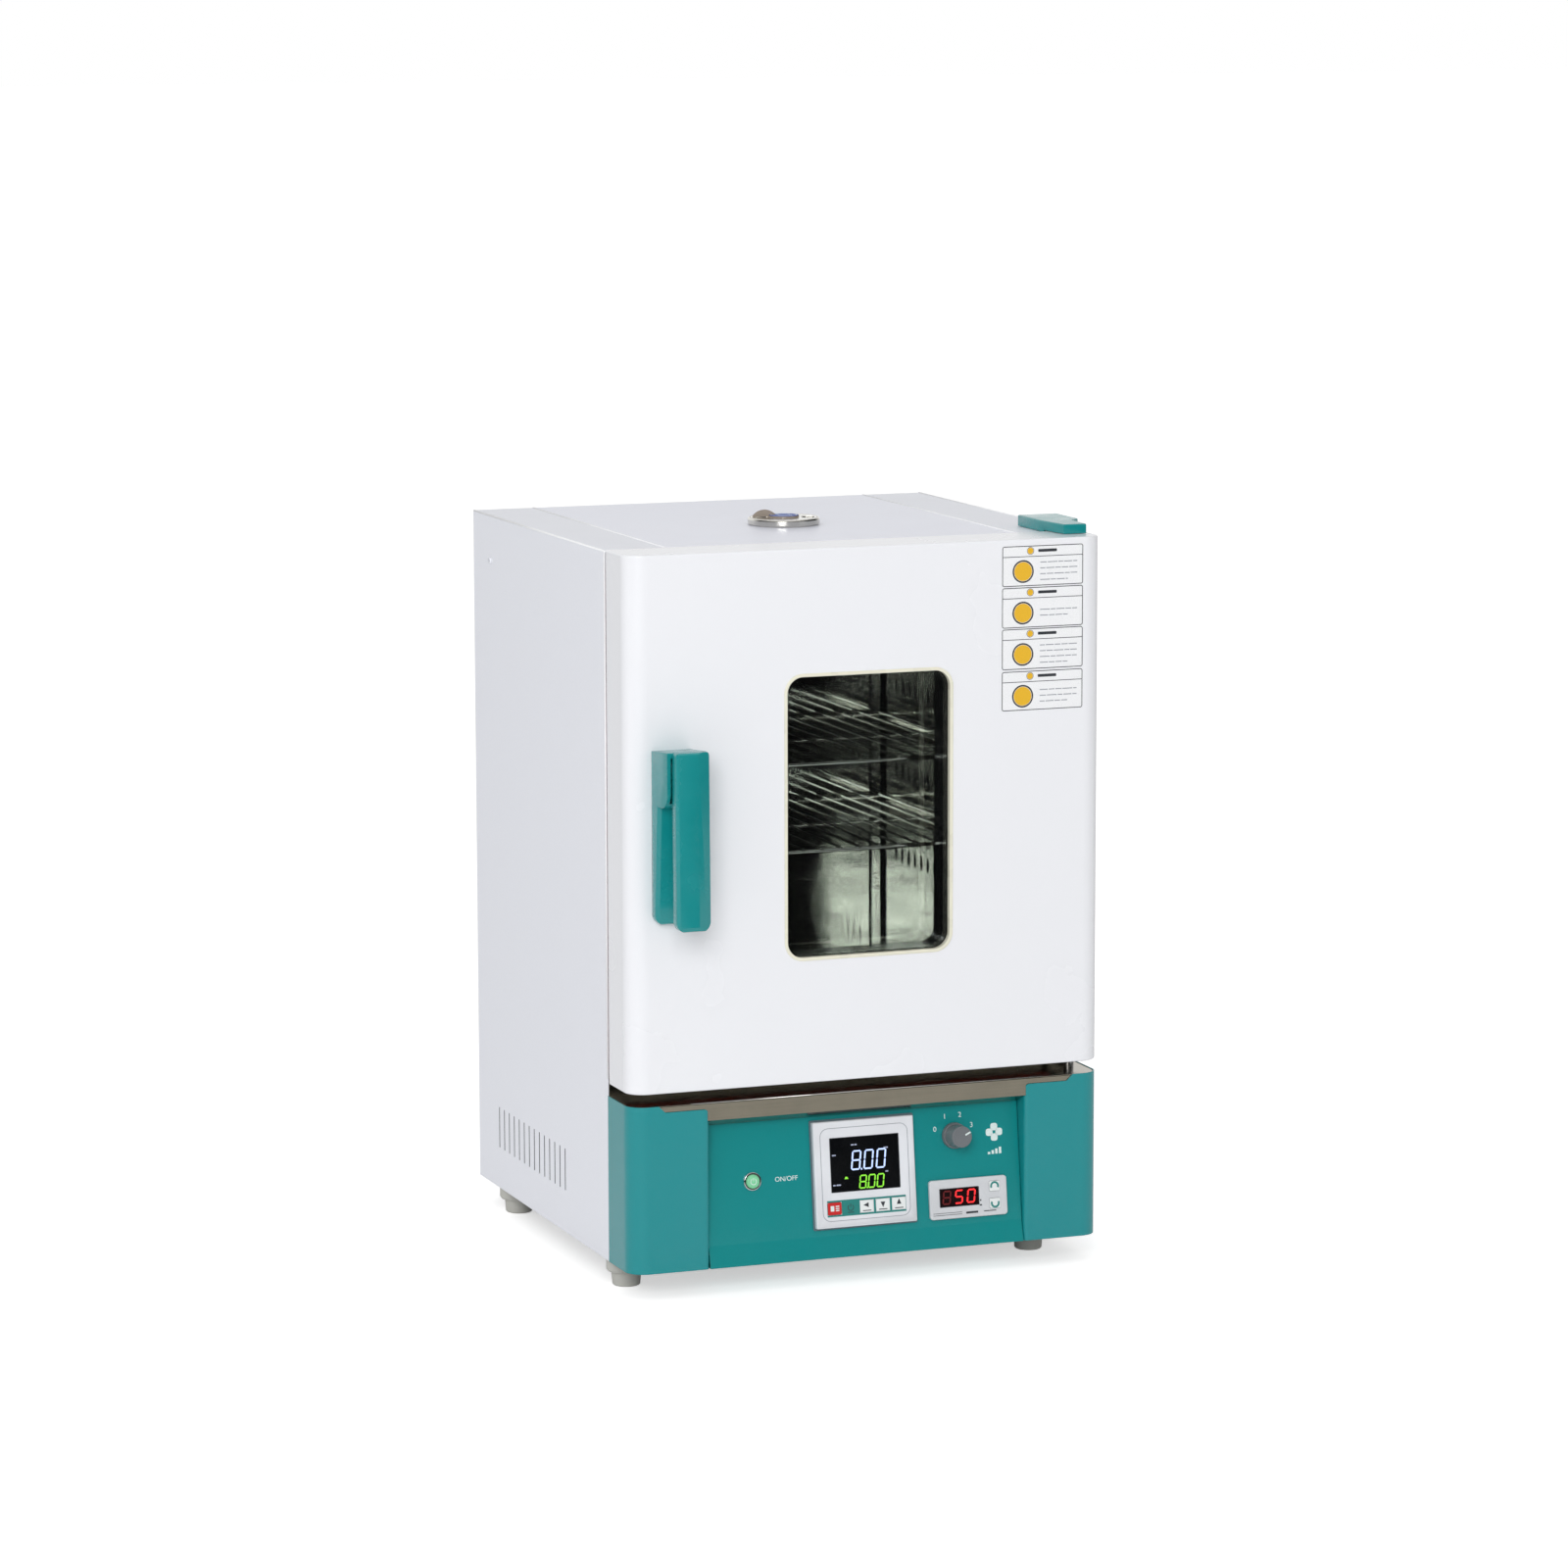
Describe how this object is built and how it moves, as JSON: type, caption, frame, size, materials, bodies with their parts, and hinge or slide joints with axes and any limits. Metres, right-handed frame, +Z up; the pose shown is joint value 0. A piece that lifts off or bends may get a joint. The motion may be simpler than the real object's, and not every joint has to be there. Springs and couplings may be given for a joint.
{
  "type": "laboratory incubator",
  "caption": "Bench incubator: painted cabinet with a side-hinged windowed door, polished chamber with wire shelves, sunk front control panel and roof vent",
  "frame": {"origin": "on the floor plane, under the middle of the whole object's box", "axes": "+Z up, front face towards -Y, +X to the right as seen from the front"},
  "size_m": [0.4573, 0.5128, 0.6735],
  "materials": {
    "white_paint": "fine powder coat",
    "door_paint": "smooth satin paint",
    "teal_paint": "smooth satin paint",
    "teal_plastic": "semi-gloss moulded",
    "stainless": "mirror-polished sheet",
    "galvanised": "plain sheet",
    "chrome": "polished",
    "steel": "machined",
    "grey_plastic": "fine matte",
    "black_plastic": "matte",
    "white_plastic": "satin",
    "red_plastic": "satin",
    "cream_plastic": "satin moulded",
    "dark_trim": "gloss",
    "display_glass": "gloss window",
    "window_glass": "clear polished",
    "red_silicone": "matte silicone",
    "wool": "rough fibre board",
    "brass": "machined",
    "aluminium": "extruded",
    "blue_plastic": "satin",
    "cable": "matte sleeve",
    "button_cap": "translucent lens"
  },
  "bodies": {
    "cabinet": {"side_panel_left": "white_paint", "side_panel_right": "white_paint", "roof_panel": "white_paint", "back_panel": "white_paint", "base_pan": "galvanised", "feet": "grey_plastic", "front_frame": "stainless", "cheek_left": "teal_paint", "cheek_right": "teal_paint", "control_panel": "teal_paint", "chamber_liner": "stainless", "side_ducts": "stainless", "rear_baffle": "stainless", "cabinet_insulation": "wool", "shelf_rails": "stainless", "heater_element": "stainless", "temperature_probes": "stainless", "fan_motor": "aluminium", "rear_cover": "white_paint", "power_inlet": "black_plastic", "solid_state_relay": "black_plastic", "terminal_block": "black_plastic", "wiring_loom": "cable", "cabinet_screws": "steel", "catch_box": "galvanised", "hinge_brackets": "steel", "hinge_cap": "teal_plastic", "vent_flange": "chrome", "controller_case": "white_plastic", "controller_display": "display_glass", "limiter_case": "white_plastic", "limiter_display": "display_glass", "selector_switch": "black_plastic", "power_button_ring": "chrome"},
    "door": {"door_shell": "door_paint", "door_inner_panel": "stainless", "door_insulation": "wool", "window_trim": "cream_plastic", "window_panes": "window_glass", "window_reveal": "dark_trim", "door_gasket": "red_silicone", "hinge_bushes": "brass", "handle_base": "teal_plastic", "handle_pin": "steel"},
    "handle": {"handle_lever": "teal_plastic", "latch_tongue": "steel"},
    "damper": {"vent_damper": "chrome"},
    "fan": {"fan_wheel": "aluminium", "fan_shaft": "steel"},
    "knob": {"selector_knob": "grey_plastic"},
    "power_cap": {"power_button_cap": "button_cap"},
    "set_key": {"key_set": "red_plastic"},
    "shift_key": {"key_shift": "white_plastic"},
    "down_key": {"key_down": "white_plastic"},
    "up_key": {"key_up": "white_plastic"},
    "limiter_up_key": {"limiter_key_up": "white_plastic"},
    "limiter_down_key": {"limiter_key_down": "white_plastic"},
    "top_shelf": {"shelf_upper": "stainless"},
    "bottom_shelf": {"shelf_lower": "stainless"}
  },
  "joints": [
    {"name": "door_hinge", "type": "hinge", "parent": "cabinet", "child": "door", "pos_m": [0.208, -0.16445, 0.423], "axis": [0, 0, 1], "range_deg": [0, 120]},
    {"name": "handle_pivot", "type": "hinge", "parent": "door", "child": "handle", "pos_m": [-0.1855, -0.23105, 0.4825], "axis": [-1, 0, 0], "range_deg": [0, 12], "stiffness_Nm_per_rad": 2, "springref_deg": -5.73},
    {"name": "damper_turn", "type": "hinge", "parent": "cabinet", "child": "damper", "pos_m": [0, 0.01355, 0.665], "axis": [0, 0, 1], "range_deg": [0, 90]},
    {"name": "fan_spin", "type": "hinge", "parent": "cabinet", "child": "fan", "pos_m": [0, 0.16155, 0.446], "axis": [0, -1, 0], "continuous": true},
    {"name": "speed_knob", "type": "hinge", "parent": "cabinet", "child": "knob", "pos_m": [0.0879, -0.1842, 0.1234], "axis": [0, -0.9925, 0.1219], "range_deg": [0, 135]},
    {"name": "power_press", "type": "slide", "parent": "cabinet", "child": "power_cap", "axis": [0, 0.9925, -0.1219], "range_m": [0, 0.0018], "stiffness_N_per_m": 900, "springref_m": -0.0006},
    {"name": "set_press", "type": "slide", "parent": "cabinet", "child": "set_key", "axis": [0, 0.9925, -0.1219], "range_m": [0, 0.0008], "stiffness_N_per_m": 800, "springref_m": -0.0003},
    {"name": "shift_press", "type": "slide", "parent": "cabinet", "child": "shift_key", "axis": [0, 0.9925, -0.1219], "range_m": [0, 0.0008], "stiffness_N_per_m": 800, "springref_m": -0.0003},
    {"name": "down_press", "type": "slide", "parent": "cabinet", "child": "down_key", "axis": [0, 0.9925, -0.1219], "range_m": [0, 0.0008], "stiffness_N_per_m": 800, "springref_m": -0.0003},
    {"name": "up_press", "type": "slide", "parent": "cabinet", "child": "up_key", "axis": [0, 0.9925, -0.1219], "range_m": [0, 0.0008], "stiffness_N_per_m": 800, "springref_m": -0.0003},
    {"name": "limiter_up_press", "type": "slide", "parent": "cabinet", "child": "limiter_up_key", "axis": [0, 0.9925, -0.1219], "range_m": [0, 0.0008], "stiffness_N_per_m": 800, "springref_m": -0.0003},
    {"name": "limiter_down_press", "type": "slide", "parent": "cabinet", "child": "limiter_down_key", "axis": [0, 0.9925, -0.1219], "range_m": [0, 0.0008], "stiffness_N_per_m": 800, "springref_m": -0.0003},
    {"name": "top_shelf_slide", "type": "slide", "parent": "cabinet", "child": "top_shelf", "axis": [0, -1, 0], "range_m": [0, 0.012]},
    {"name": "bottom_shelf_slide", "type": "slide", "parent": "cabinet", "child": "bottom_shelf", "axis": [0, -1, 0], "range_m": [0, 0.012]}
  ]
}
